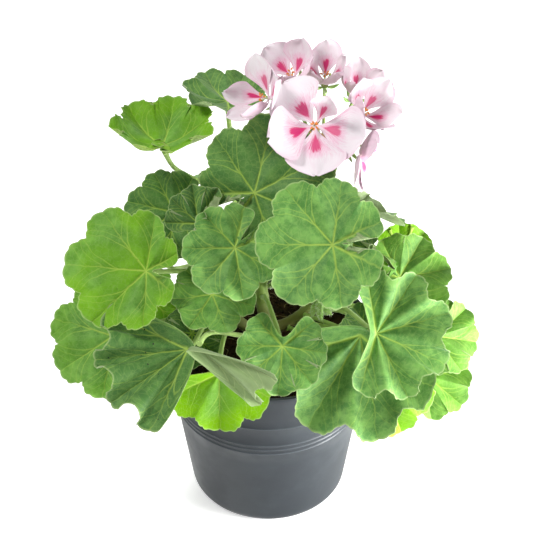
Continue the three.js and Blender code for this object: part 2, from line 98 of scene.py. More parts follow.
backwards = Vector((0, -math.cos(elevation), math.sin(elevation)))
eye = stand("camera", bpy.data.cameras.new("camera"), target + distance * backwards, target)
eye.data.sensor_width = 36
eye.data.lens = 129.7
scene.camera = eye
print("camera in mm:", [round(c / mm) for c in eye.location])


# %% Lamps, room and floor
def soft_lamp(name, place, side, power, aim=target):
    lamp = stand(name, bpy.data.lights.new(name, "AREA"), place, aim)
    lamp.data.size = side
    lamp.data.energy = power


pot_right_side = Vector((0.04, -0.03, 0.03))
soft_lamp("high_left", (-0.75, -0.2, 1.35), side=0.35, power=12.5)
soft_lamp("right_side", (0.95, -0.5, 0.4), side=0.4, power=8)
soft_lamp("low_right", (0.3, -0.14, 0.07), side=0.12, power=2.2, aim=pot_right_side)
soft_lamp("behind", (0.1, 1.2, 1.1), side=0.8, power=7)

scene.world = bpy.data.worlds.new("white_room")
scene.world.use_nodes = True
walls = scene.world.node_tree.nodes["Background"]
walls.inputs["Color"].default_value = (1, 1, 1, 1)
room_light, room_seen = 0.4, 1.0
seen = scene.world.node_tree.nodes.new("ShaderNodeLightPath").outputs["Is Camera Ray"]
strength = scene.world.node_tree.nodes.new("ShaderNodeMapRange")
strength.inputs["To Min"].default_value = room_light
strength.inputs["To Max"].default_value = room_seen
scene.world.node_tree.links.new(seen, strength.inputs["Value"])
scene.world.node_tree.links.new(strength.outputs[0], walls.inputs["Strength"])

floor_paint = bpy.data.materials.new("pale_floor")
floor_paint.use_nodes = True
floor_shader = floor_paint.node_tree.nodes["Principled BSDF"]
for socket, value in (
    ("Base Color", (0.95, 0.95, 0.95, 1)), ("Roughness", 0.9), ("Specular IOR Level", 0.1),
    ("Emission Color", (1, 1, 1, 1)), ("Emission Strength", 0.5),
):
    floor_shader.inputs[socket].default_value = value

floor_mesh = bpy.data.meshes.new("floor")
floor_reach = 4
floor_depth = -0.5 * mm
ways = ((-1, -1), (1, -1), (1, 1), (-1, 1))
corners = [(x * floor_reach, y * floor_reach, floor_depth) for x, y in ways]
floor_mesh.from_pydata(corners, [], [(0, 1, 2, 3)])
floor_mesh.materials.append(floor_paint)
floor = stand("floor", floor_mesh)
floor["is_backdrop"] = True

# %% [markdown]
# ## A bench for materials
# Every finish here is made of nodes, and wiring them by hand is wordy. The bench below adds a node
# and joins its sockets in one line. Colours are written as they look on a screen and turned into
# the linear values that light is reckoned in.


# %% The bench
def colour(code):
    """A screen colour such as "4f8a35", as a linear RGBA value."""
    screen = [int(code[i : i + 2], 16) / 255 for i in (0, 2, 4)]
    linear = [c / 12.92 if c <= 0.04045 else ((c + 0.055) / 1.055) ** 2.4 for c in screen]
    return (*linear, 1)


class Bench:
    """A node tree in the making."""

    def __init__(self, tree):
        self.tree = tree

    def put(self, kind, inputs=None, **settings):
        node = self.tree.nodes.new(kind)
        for name, value in settings.items():
            setattr(node, name, value)
        for socket, source in (inputs or {}).items():
            self.feed(node.inputs[socket], source)
        return node

    def feed(self, socket, source):
        if isinstance(source, bpy.types.NodeSocket):
            self.tree.links.new(source, socket)
        else:
            socket.default_value = source

    def sum(self, operation, first, second=0.0):
        return self.put("ShaderNodeMath", {0: first, 1: second}, operation=operation).outputs[0]

    def plus(self, first, second):
        return self.sum("ADD", first, second)

    def minus(self, first, second):
        return self.sum("SUBTRACT", first, second)

    def times(self, first, second):
        return self.sum("MULTIPLY", first, second)

    def size(self, value):
        """The value without its sign."""
        return self.sum("ABSOLUTE", value)

    def ramp(self, value, low, high, start=0.0, end=1.0):
        """Runs smoothly from start to end while value goes from low to high."""
        inputs = {"Value": value, "From Min": low, "From Max": high, "To Min": start, "To Max": end}
        return self.put("ShaderNodeMapRange", inputs, interpolation_type="SMOOTHSTEP").outputs[0]

    def blend(self, share, first, second):
        """Two colours mixed. The second may be a screen colour's code."""
        second = colour(second) if isinstance(second, str) else second
        inputs = {0: share, 6: first, 7: second}
        return self.put("ShaderNodeMix", inputs, data_type="RGBA").outputs[2]

    def attribute(self, name):
        return self.put("ShaderNodeAttribute", attribute_name=name).outputs["Fac"]

    def chart(self, name):
        return self.put("ShaderNodeUVMap", uv_map=name).outputs["UV"]

    def place(self):
        return self.put("ShaderNodeTexCoord").outputs["Object"]

    def speckle(self, where, scale, detail=2.0, roughness=0.5):
        inputs = {"Vector": where, "Scale": scale, "Detail": detail, "Roughness": roughness}
        return self.put("ShaderNodeTexNoise", inputs).outputs[0]

    def cells(self, where, scale):
        """Distance from the nearest border in a net of rounded cells."""
        inputs = {"Vector": where, "Scale": scale}
        return self.put("ShaderNodeTexVoronoi", inputs, feature="DISTANCE_TO_EDGE").outputs["Distance"]

    def relief(self, height, distance, strength=1.0, below=None):
        inputs = {"Height": height, "Distance": distance, "Strength": strength}
        node = self.put("ShaderNodeBump", inputs)
        if below is not None:
            self.feed(node.inputs["Normal"], below)
        return node.outputs["Normal"]


def finish(name, **constants):
    """A new material: its bench and its shader, with the constants set on the shader's own sockets."""
    material = bpy.data.materials.new(name)
    material.use_nodes = True
    shader = material.node_tree.nodes["Principled BSDF"]
    for socket, value in constants.items():
        shader.inputs[socket.replace("_", " ")].default_value = value
    return material, Bench(material.node_tree), shader


# %% [markdown]
# ## Effects that several finishes share
# Leaves, petals and buds all carry a net of fine veins, and nothing that grows or is dug up is one
# even colour. Both effects are node groups with named inputs, so each finish that uses one sets its
# own scale; here only the leaves draw the net of veins.


# %% Shared effects
def group(name, inputs, outputs):
    tree = bpy.data.node_groups.new(name, "ShaderNodeTree")
    for label, kind in inputs.items():
        tree.interface.new_socket(label, in_out="INPUT", socket_type="NodeSocket" + kind)
    for label, kind in outputs.items():
        tree.interface.new_socket(label, in_out="OUTPUT", socket_type="NodeSocket" + kind)
    bench = Bench(tree)
    return bench, bench.put("NodeGroupInput").outputs, bench.put("NodeGroupOutput").inputs


bench, given, result = group(
    "vein_net",
    {"Place": "Vector", "Scale": "Float", "Width": "Float"},
    {"Mask": "Float"},
)
where = {"Vector": given["Place"], "Scale": given["Scale"]}
wander = bench.put("ShaderNodeTexNoise", where).outputs["Color"]
shift = bench.put("ShaderNodeVectorMath", {0: wander, 3: 0.25}, operation="SCALE").outputs[0]
places = {0: given["Place"], 1: shift}
moved = bench.put("ShaderNodeVectorMath", places, operation="ADD").outputs[0]
border = bench.cells(moved, given["Scale"])
bench.feed(result["Mask"], bench.ramp(border, 0.0, given["Width"], 1.0, 0.0))
vein_net = bench.tree

bench, given, result = group(
    "uneven_colour",
    {"Place": "Vector", "Scale": "Float", "Pale": "Color", "Deep": "Color"},
    {"Color": "Color", "Mask": "Float"},
)
clouds = bench.speckle(given["Place"], given["Scale"], 4.0, 0.6)
depth = bench.ramp(clouds, 0.35, 0.65)
bench.feed(result["Color"], bench.blend(depth, given["Pale"], given["Deep"]))
bench.feed(result["Mask"], depth)
uneven_colour = bench.tree


def use(bench, tree, inputs):
    """Places a shared effect in a material, with that material's own values."""
    node = bench.put("ShaderNodeGroup", node_tree=tree)
    for socket, source in inputs.items():
        bench.feed(node.inputs[socket], source)
    return node.outputs


def clouded(bench, where, scale, pale, deep):
    """Two screen colours in clouds of one scale, and the mask that parts them."""
    inputs = {"Place": where, "Scale": scale, "Pale": colour(pale), "Deep": colour(deep)}
    return use(bench, uneven_colour, inputs)


print("shared effects:", [tree.name for tree in (vein_net, uneven_colour)])

# %% [markdown]
# ## The leaf's finish
# A geranium leaf is velvety and matte. Seven pale veins run from the stalk to the lobes, and each
# forks two or three times on its way out; between them is a fine net. The charts used here are
# drawn on each blade when it is grown: "spoke" counts lobes round the leaf and the share of the way
# out, and "flat" is the blade spread out flat, in centimetres. The underside is a pale grey-green.
# Light that shines through a leaf is painted into its colour as a much brighter yellow-green, as
# much as each leaf's "glow" says, with painted patches of shadow in it; leaves deep in the
# plant's shade are painted a darker green, as much as their "shade" says.

# %% Forked veins
bench, given, result = group(
    "forked_veins",
    {"Spoke": "Vector", "Flat": "Vector", "Lobe Angle": "Float"},
    {"Mask": "Float"},
)
spoke = bench.put("ShaderNodeSeparateXYZ", {0: given["Spoke"]}).outputs
out_cm = bench.put("ShaderNodeVectorMath", {0: given["Flat"]}, operation="LENGTH").outputs["Value"]
waver = bench.minus(bench.speckle(given["Flat"], 1.1, 2.0), 0.5)
turns = bench.plus(spoke["X"], bench.times(waver, 0.12))
from_rib = bench.minus(bench.sum("FRACT", bench.plus(turns, 1 / 3)), 0.5)
aside = bench.size(from_rib)
lobe_cm = bench.times(out_cm, given["Lobe Angle"])
sideways_cm = bench.times(aside, lobe_cm)
rib_width = bench.ramp(spoke["Y"], 0.0, 1.0, 0.085, 0.03)
mask = bench.ramp(sideways_cm, 0.0, rib_width, 1.0, 0.0)
for start, slant, width in ((0.3, 0.62, 0.045), (0.52, 0.75, 0.035), (0.72, 0.95, 0.03)):
    line = bench.times(bench.minus(spoke["Y"], start), slant)
    gap = bench.size(bench.minus(aside, line))
    gap_cm = bench.times(gap, lobe_cm)
    branch = bench.ramp(gap_cm, 0.0, width, 0.85, 0.0)
    begun = bench.ramp(spoke["Y"], start - 0.01, start + 0.02)
    mask = bench.sum("MAXIMUM", mask, bench.times(branch, begun))
bench.feed(result["Mask"], mask)
forked_veins = bench.tree

# %% Velvet leaf
velvet_leaf, bench, shader = finish("velvet_leaf", Roughness=0.6, Sheen_Roughness=0.5)
flat = bench.chart("flat")
spoke_chart = bench.chart("spoke")
lobe_angle = bench.attribute("lobe_angle")
ribs = use(bench, forked_veins, {"Spoke": spoke_chart, "Flat": flat, "Lobe Angle": lobe_angle})["Mask"]
net = use(bench, vein_net, {"Place": flat, "Scale": 3.6, "Width": 0.09})["Mask"]
blotches = clouded(bench, flat, 1.4, "72a44a", "487d30")
# Painted shadow: wide clouds that cut each leaf's painted glow back to 45 per cent in places, like the
# shadows of other leaves.
painted_shadow_patches = bench.ramp(bench.speckle(flat, 0.42, 1.0), 0.36, 0.58, 0.45, 1.0)
glow = bench.times(bench.attribute("glow"), painted_shadow_patches)
shade = bench.attribute("shade")
under = bench.attribute("underside")
stalk = bench.attribute("stalk")
edge = bench.attribute("edge")
specks = bench.attribute("specks")
# Painted light: light shining through a leaf is painted as a blend towards a bright yellow-green, by its
# glow.
lit = bench.blend(glow, blotches["Color"], "76ac00")
# Painted shade: a leaf deep in the plant's shade is blended towards a dark green, by its shade.
dim = bench.blend(shade, lit, "2f5220")
zone = bench.ramp(bench.size(bench.minus(edge, 0.5)), 0.05, 0.3, 0.3, 0.0)
zoned = bench.blend(zone, dim, "44752c")
netted = bench.blend(bench.times(net, 0.2), zoned, "93b45f")
out_share = bench.put("ShaderNodeSeparateXYZ", {0: spoke_chart}).outputs["Y"]
faded = bench.ramp(out_share, 0.0, 0.85, 0.85, 0.3)
veined = bench.blend(bench.times(ribs, faded), netted, "aecb55")
rimmed = bench.blend(bench.ramp(edge, 0.97, 1.0, 0.0, 0.6), veined, "a9bf7c")
dots = bench.put("ShaderNodeTexVoronoi", {"Vector": flat, "Scale": 2.6}).outputs["Distance"]
sparse = bench.ramp(bench.speckle(flat, 0.7, 1.0), 0.5, 0.62)
crumbs = bench.ramp(dots, 0.09, 0.13, 1.0, 0.0)
soiled = bench.times(crumbs, bench.times(sparse, specks))
rimmed = bench.blend(soiled, rimmed, "1d2114")
below = bench.blend(bench.times(ribs, 0.5), colour("8b9f6c"), "b4c48e")
# Painted light: the underside is also painted a brighter yellow-green where light shines through.
lit_below = bench.blend(bench.times(glow, 0.8), below, "98bb2c")
sided = bench.blend(under, rimmed, lit_below)
whole = bench.blend(stalk, sided, "9dbb66")
bench.feed(shader.inputs["Base Color"], whole)
bench.feed(shader.inputs["Sheen Weight"], bench.ramp(glow, 0.0, 0.8, 0.14, 0.0))
bench.feed(shader.inputs["Specular IOR Level"], bench.ramp(glow, 0.0, 0.8, 0.35, 0.12))
rib_depth = bench.times(bench.times(ribs, faded), -0.8)
hollow = bench.plus(rib_depth, bench.times(net, -0.25))
turned = bench.times(hollow, bench.minus(1.0, bench.times(under, 2.0)))
fuzz = bench.speckle(flat, 22.0, 2.0, 0.7)
grain = bench.relief(fuzz, 0.00012, 0.5)
bench.feed(shader.inputs["Normal"], bench.relief(turned, 0.0003, 0.8, grain))

# %% [markdown]
# ## The petals' finish
# A petal is silky white, flushed with pink towards its edges, with a vivid magenta blotch above its
# narrow claw and fine streaks that run out of the blotch. Its back is mauve. The chart "petal" runs
# across it from -1 to 1 and along it from 0 at the claw to 1 at the tip.

# %% Silky petal
silky_petal, bench, shader = finish(
    "silky_petal",
    Roughness=0.5, Sheen_Weight=0.25, Sheen_Roughness=0.4, Specular_IOR_Level=0.3,
)
across = bench.put("ShaderNodeSeparateXYZ", {0: bench.chart("petal")}).outputs
under = bench.attribute("underside")
flush = bench.attribute("flush")
stain = bench.attribute("stain")
offset = bench.minus(across["Y"], 0.33)
wide = bench.times(across["X"], 2.1)
narrow = bench.times(across["X"], 9.0)
streaks = bench.put("ShaderNodeCombineXYZ", {0: narrow, 1: across["Y"], 2: flush})
rays = bench.speckle(streaks.outputs[0], 1.6, 3.0, 0.7)
spread = bench.plus(
    bench.sum("POWER", bench.size(bench.times(offset, 4.6)), 2.0),
    bench.sum("POWER", bench.size(wide), 2.0),
)
ragged = bench.plus(spread, bench.times(bench.minus(rays, 0.5), 1.6))
heart = bench.times(bench.ramp(ragged, 0.3, 0.75, 1.0, 0.0), stain)
halo = bench.times(bench.ramp(ragged, 0.5, 2.4, 0.4, 0.0), stain)
lines = bench.ramp(bench.size(bench.minus(rays, 0.5)), 0.0, 0.035, 1.0, 0.0)
outward = bench.ramp(across["Y"], 0.25, 0.85, 0.6, 0.0)
rim_flush = bench.ramp(bench.size(across["X"]), 0.6, 1.0, 0.0, 0.4)
clouds = bench.speckle(bench.chart("petal"), 1.8, 2.0)
cloud_flush = bench.ramp(clouds, 0.45, 0.75, 0.0, 0.4)
tinted = bench.times(bench.plus(rim_flush, cloud_flush), flush)
face = bench.blend(tinted, colour("e8e0e4"), "dfb0c7")
face = bench.blend(halo, face, "e377ad")
face = bench.blend(bench.times(lines, outward), face, "cf4088")
face = bench.blend(heart, face, "cc0664")
back = bench.blend(bench.ramp(across["Y"], 0.0, 0.9), colour("c98fb0"), "ddc3d0")
bench.feed(shader.inputs["Base Color"], bench.blend(under, face, back))
silk = bench.plus(bench.times(rays, 0.6), bench.speckle(bench.chart("petal"), 9.0))
bench.feed(shader.inputs["Normal"], bench.relief(silk, 0.0003, 0.35))

# %% [markdown]
# ## The finishes of stems, buds, plastic and peat
# Stems are pale green and softly haired, and turn brown and woody near the soil. Buds and sepals are
# a fresh hairy green. The pot is matte slate-grey plastic, a little paler along its moulded ridges,
# with the faint grain that the mould leaves. Peat is nearly black where it is damp and brown where
# it has dried.

# %% Stem
stem_green, bench, shader = finish(
    "stem_green", Roughness=0.6, Sheen_Weight=0.2, Specular_IOR_Level=0.35
)
place = bench.place()
height = bench.put("ShaderNodeSeparateXYZ", {0: place}).outputs["Z"]
fresh = clouded(bench, place, 60.0, "a3bf6c", "7f9f45")
woody = bench.ramp(height, 0.1, 0.15, 1.0, 0.0)
bench.feed(shader.inputs["Base Color"], bench.blend(woody, fresh["Color"], "6f5a35"))
bench.feed(shader.inputs["Normal"], bench.relief(bench.speckle(place, 900.0, 3.0), 0.0002, 0.6))


# %% Buds
def two_tone(name, scale, pale, deep, **constants):
    """A finish in clouds of two screen colours, and what it takes to give it relief."""
    material, bench, shader = finish(name, **constants)
    place = bench.place()
    bench.feed(shader.inputs["Base Color"], clouded(bench, place, scale, pale, deep)["Color"])
    return material, bench, shader, place


bud_green, bench, shader, place = two_tone(
    "bud_green", 90.0, "a9cb74", "7fae4c",
    Roughness=0.65, Sheen_Weight=0.4, Specular_IOR_Level=0.3,
)
bench.feed(shader.inputs["Normal"], bench.relief(bench.speckle(place, 700.0, 3.0), 0.0002, 0.6))
hair_white, *_ = two_tone(
    "hair_white", 200.0, "e6edd2", "c9d8a8", Roughness=0.7, Specular_IOR_Level=0.2
)

# %% Pollen and a withered petal
withered_petal, *_ = two_tone("withered_petal", 260.0, "efdcc0", "dd9f4e", Roughness=0.75)
pollen_orange, *_ = two_tone("pollen_orange", 500.0, "f0a24a", "c8641e", Roughness=0.7)

# %% Plastic
matte_pot, bench, shader = finish("matte_pot", Roughness=0.5, Specular_IOR_Level=0.28)
place = bench.place()
cloudy = clouded(bench, place, 22.0, "2a3035", "23282d")
ridged = bench.blend(bench.attribute("ridge"), cloudy["Color"], "53595e")
dust = bench.ramp(bench.speckle(place, 260.0, 5.0, 0.8), 0.62, 0.75, 0.0, 0.4)
bench.feed(shader.inputs["Base Color"], bench.blend(dust, ridged, "474c51"))
bench.feed(shader.inputs["Roughness"], bench.ramp(cloudy["Mask"], 0.0, 1.0, 0.4, 0.5))
bench.feed(shader.inputs["Normal"], bench.relief(bench.speckle(place, 1400.0, 2.0), 0.00004, 0.5))

# %% Peat and perlite
damp_peat, bench, shader, place = two_tone(
    "damp_peat", 180.0, "3b2a1c", "1b130d", Roughness=0.95, Specular_IOR_Level=0.15
)
lumpy = bench.speckle(place, 900.0, 4.0, 0.7)
bench.feed(shader.inputs["Normal"], bench.relief(lumpy, 0.0008, 0.9))
white_perlite, *_ = two_tone("white_perlite", 400.0, "efece4", "cfcabd", Roughness=0.9)
print("finishes:", [m.name for m in bpy.data.materials])

# %% [markdown]
# ## Making meshes
# A piece is a list of points and faces. Its charts are laid corner by corner, because a chart may
# have a seam where the mesh has none, and its masks are one number for each point. The tube is used
# again and again: stalks, stems, roots, sepals and buds are all tubes whose width changes along a
# path, closed by a point at each end.


# %% Points and faces
sharp_angle = math.radians(50)


class Body:
    """Points, faces, charts and masks that add up to one piece."""

    def __init__(self):
        self.points = []
        self.faces = []
        self.charts = {}
        self.masks = {}
        self.finishes = []

    def add(self, points, faces, charts=None, masks=None, finish_number=0):
        first = sum(len(p) for p in self.points)
        self.points.append(np.asarray(points, float))
        self.faces.extend(tuple(first + i for i in face) for face in faces)
        self.finishes.extend([finish_number] * len(faces))
        corners = sum(len(face) for face in faces)
        for name in set(self.charts) | set(charts or {}):
            done = sum(len(c) for c in self.charts.get(name, []))
            owed = sum(len(face) for face in self.faces) - corners - done
            here = (charts or {}).get(name, np.zeros((corners, 2)))
            self.charts.setdefault(name, []).extend([np.zeros((owed, 2)), np.asarray(here, float)])
        for name in set(self.masks) | set(masks or {}):
            done = sum(len(m) for m in self.masks.get(name, []))
            here = (masks or {}).get(name, 0.0)
            here = np.broadcast_to(np.asarray(here, float), (len(points),))
            self.masks.setdefault(name, []).extend([np.zeros(first - done), here])

    def piece(self, name, materials, slot, replaced=()):
        mesh = bpy.data.meshes.new(name)
        mesh.from_pydata(np.concatenate(self.points).tolist(), [], self.faces)
        for label, parts in self.charts.items():
            layer = mesh.uv_layers.new(name=label)
            layer.data.foreach_set("uv", np.concatenate(parts).astype(np.float32).ravel())
        for label, parts in self.masks.items():
            layer = mesh.attributes.new(label, "FLOAT", "POINT")
            layer.data.foreach_set("value", np.concatenate(parts).astype(np.float32))
        for material in materials:
            mesh.materials.append(material)
        mesh.polygons.foreach_set("material_index", self.finishes)
        return ready(name, mesh, replaced)


def ready(name, mesh, replaced=()):
    """Shades a finished mesh smooth, stands it in the scene under the root body, and hides the solids it
    replaces.
    """
    mesh.shade_smooth()
    mesh.set_sharp_from_angle(angle=sharp_angle)
    mesh.validate()
    made = stand(name, mesh)
    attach(made, "root")
    if replaced:
        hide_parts(*replaced)
    return made


# %% Paths and tubes
def unit(vector):
    return vector / np.linalg.norm(vector)


def between(a, b, c, d, t):
    """The place a share t of the way from b to c, on a smooth curve through all four."""
    bowed, twisted = 2 * a - 5 * b + 4 * c - d, 3 * b - a - 3 * c + d
    return 0.5 * (2 * b + (c - a) * t + bowed * t**2 + twisted * t**3)


def around(way, hint):
    """Two directions at right angles to a way and to each other."""
    side = unit(np.cross(way, hint))
    return side, np.cross(way, side)


def smooth_path(points, steps):
    """A curve through the points, with the given number of steps between each two."""
    points = np.asarray(points, float)
    ends = np.vstack([2 * points[0] - points[1], points, 2 * points[-1] - points[-2]])
    path = []
    for i in range(len(points) - 1):
        path.extend(between(*ends[i : i + 4], t) for t in np.arange(steps) / steps)
    return np.array([*path, points[-1]])


def capped_faces(sides, rings):
    """Faces of a stack of rings with one more point before the first and one after the last."""
    last = 1 + sides * rings
    faces = []
    for i in range(sides):
        j = (i + 1) % sides
        faces.append((0, 1 + j, 1 + i))
        for ring in range(rings - 1):
            low, high = 1 + ring * sides, 1 + (ring + 1) * sides
            faces.append((low + i, low + j, high + j, high + i))
        faces.append((last, last - sides + i, last - sides + j))
    return faces


def tube(path, widths, sides):
    """A closed tube along a path. Its widths are radii, one for each point of the path."""
    path = np.asarray(path, float)
    ways = np.gradient(path, axis=0)
    ways /= np.linalg.norm(ways, axis=1)[:, None]
    side = np.eye(3)[np.argmin(abs(ways[0]))]
    points = [path[0]]
    angles = np.arange(sides) * 2 * math.pi / sides
    for centre, way, width in zip(path, ways, widths):
        side = side - way * side.dot(way)
        side /= np.linalg.norm(side)
        up = np.cross(way, side)
        for angle in angles:
            points.append(centre + width * (math.cos(angle) * side + math.sin(angle) * up))
    points.append(path[-1])
    return np.array(points), capped_faces(sides, len(path))


# %% [markdown]
# ## Reading a blade from the frame
# In the solid model a blade is a fan of spokes round one middle point, in rings from the middle to
# the margin, with the stalk below it. Counting steps outwards from the middle finds those rings
# again, so the fine leaf can follow exactly the way that the solid one stands, cups and folds.


# %% Rings round a middle point
def layers_from(start, beside):
    """The points of a solid in layers: the start, those one step away, and so on."""
    layers, seen = [{start}], {start}
    while layers[-1]:
        layers.append({v for rim in layers[-1] for v in beside[rim]} - seen)
        seen |= layers[-1]
    return layers[:-1]


def is_middle(point, beside):
    """A blade's middle point has a layer of one size at each of the blade's five rings."""
    spokes = len(beside[point])
    return spokes > 5 and all(len(layer) == spokes for layer in layers_from(point, beside)[1:6])


def rings_of(node):
    """A blade's six rings of points, in order, and the middle line of the stalk below it."""
    welded = bmesh.new()
    welded.from_mesh(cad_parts[node].data)
    bmesh.ops.remove_doubles(welded, verts=welded.verts, dist=1e-5)
    beside = {v: {e.other_vert(v) for e in v.link_edges} for v in welded.verts}
    middle = next(v for v in welded.verts if is_middle(v, beside))
    after = {}
    for face in middle.link_faces:
        corner = next(c for c in face.loops if c.vert == middle)
        after[corner.link_loop_next.vert] = corner.link_loop_prev.vert
    ring = [next(iter(after))]
    while len(ring) < len(after):
        ring.append(after[ring[-1]])
    rings = [[middle] * len(ring), ring]
    seen = {middle, *ring}
    for step in range(4):
        first, second = (0, -1) if step >= 2 else (1, 0)
        pairs = zip(np.roll(ring, first, 0), np.roll(ring, second, 0))
        ring = [next(iter((beside[a] & beside[b]) - seen)) for a, b in pairs]
        seen |= set(ring)
        rings.append(ring)
    stalk = layers_from(middle, beside)[6:]
    line = np.array([np.mean([v.co[:] for v in layer], axis=0) for layer in stalk])
    places = [np.array([v.co[:] for v in ring]) for ring in rings]
    welded.free()
    return places, line


sample, sample_stalk = rings_of("leaf_03")
print("rings in a blade:", len(sample), "of", len(sample[0]), "points; its stalk:", len(sample_stalk))


# %% Middle sheet of a blade
def middle_sheet(places):
    """The sheet half-way through a blade: its middle point's ring, two inner rings and the margin."""
    apex, inner, outer, margin, outer_below, inner_below = places
    normal = np.sum(np.cross(inner - apex, np.roll(inner, -1, 0) - apex), axis=0)
    normal /= np.linalg.norm(normal)
    thickness = np.linalg.norm(inner - inner_below, axis=1).mean()
    sheet = [apex - normal * thickness / 2, (inner + inner_below) / 2, (outer + outer_below) / 2, margin]
    return np.array(sheet), normal


def round_loop(loop, steps):
    """Smooth values between the points of a closed loop."""
    loop = np.asarray(loop)
    a, b, c, d = (np.roll(loop, shift, 0) for shift in (1, 0, -1, -2))
    out = [between(a, b, c, d, t) for t in np.arange(steps) / steps]
    return np.stack(out, axis=1).reshape(-1, *loop.shape[1:])


# %% [markdown]
# ## Growing a leaf
# The sheet of spokes is smoothed both round and outwards, and then gets what makes it a geranium's:
# a margin of small rounded teeth, veins that sink into the face and stand out below, a slight
# quilting between them, and a margin that is never quite level. It is skinned on both sides, half a
# millimetre apart, and its stalk follows the solid one's middle line.

# %% Sizes of a leaf
round_steps = 12
out_rings = 13
blade_thickness = 0.5 * mm
tooth_width = 5.5 * mm
tooth_depth = 0.9 * mm
stalk_radius = 1.35 * mm
sheet_stations = np.array([0.0, 0.27, 0.63, 1.0])


def outward(values, stations, shares):
    """Smooth values outwards, through one value at each station."""
    result = 0
    for i, station in enumerate(stations):
        others = [s for j, s in enumerate(stations) if j != i]
        weight = np.prod([(shares - s) / (station - s) for s in others], axis=0)
        result = result + weight[:, None, None] * values[i]
    return result


# %% A blade's sheet
def grow_sheet(places):
    """The blade's fine middle sheet, as rings by points by coordinates, and where its points stand."""
    sheet, _ = middle_sheet(places)
    spokes = sheet.shape[1]
    rings = np.array([round_loop(ring, round_steps) for ring in sheet])
    around = np.arange(spokes * round_steps) / round_steps
    shares = np.linspace(0, 1, out_rings + 1) ** 0.85
    grid = outward(rings, sheet_stations, shares)
    radii = np.linalg.norm(sheet[3] - sheet[0], axis=1)
    turned = (around - np.argmin(radii) - 1) % spokes

    margin_step = np.linalg.norm(np.roll(grid[-1], -1, 0) - grid[-1], axis=1)
    lobe_arc = np.median(margin_step) * round_steps * 3
    teeth = max(3, round(lobe_arc / tooth_width)) / 3
    tooth = np.abs(np.sin(math.pi * teeth * (turned + 1)))
    from_sinus = np.minimum(np.minimum((turned + 1) % spokes, (spokes - 1 - turned) % spokes), 1)
    swell = tooth_depth * (tooth - 0.6) * from_sinus
    distance = np.linalg.norm(grid[-1] - grid[0], axis=1)
    reach = 1 + (swell / distance)[None, :] * (shares[:, None] ** 5)
    grid = grid[0] + (grid - grid[0]) * reach[:, :, None]
    lobe_angle = lobe_arc / np.percentile(radii, 75)
    return grid, shares, turned, lobe_angle


def grid_normals(grid):
    """The upward normal at each point of a sheet."""
    out = np.gradient(grid, axis=0)
    round_way = (np.roll(grid, -1, 1) - np.roll(grid, 1, 1)) / 2
    normals = np.cross(out, round_way)
    normals[0] = normals[1].mean(axis=0)
    lengths = np.linalg.norm(normals, axis=2, keepdims=True)
    return normals / np.maximum(lengths, 1e-12)


# %% A leaf's relief
rib_hollow = 0.5 * mm
rib_width = 1.2 * mm
pleat = 5.0 * mm
unevenness = 4.2 * mm
uneven_scale = 32
frill = 0.8 * mm
frill_turns = 0.55


def blade_relief(grid, shares, turned, seed):
    """How far each point of a sheet rises along its normal."""
    spokes_from_rib = np.abs((turned - 0.5 + 1.5) % 3 - 1.5)
    step = np.linalg.norm(np.roll(grid, -1, 1) - grid, axis=2) * round_steps
    from_rib = spokes_from_rib[None, :] * step
    out = shares[:, None]
    hollow = -rib_hollow * np.exp(-((from_rib / rib_width) ** 2)) * (1 - 0.5 * out)
    fold = pleat * np.sin(math.pi / 2 * np.minimum(spokes_from_rib / 1.5, 1))[None, :] * out
    stride = round_steps // 3
    own = Vector((seed, 0, 0))
    level = np.array(
        [[noise.noise(Vector(p) * uneven_scale + own) for p in ring[::stride]] for ring in grid]
    )
    spots = np.arange(level.shape[1] + 1) * stride
    level = np.array([np.interp(np.arange(grid.shape[1]), spots, [*row, row[0]]) for row in level])
    curl = frill * np.sin(turned * 2 * math.pi * frill_turns + seed)[None, :] * out**4
    return hollow + fold + unevenness * level * out**1.5 + curl


# %% Skin a blade on both sides
def skin_faces(columns, rings):
    """Faces of a round sheet whose point 0 is its middle, and rings of points follow."""
    faces = [(0, 1 + i, 1 + (i + 1) % columns) for i in range(columns)]
    for ring in range(rings - 1):
        low, high = 1 + ring * columns, 1 + (ring + 1) * columns
        for i in range(columns):
            j = (i + 1) % columns
            faces.append((low + i, high + i, high + j, low + j))
    return faces


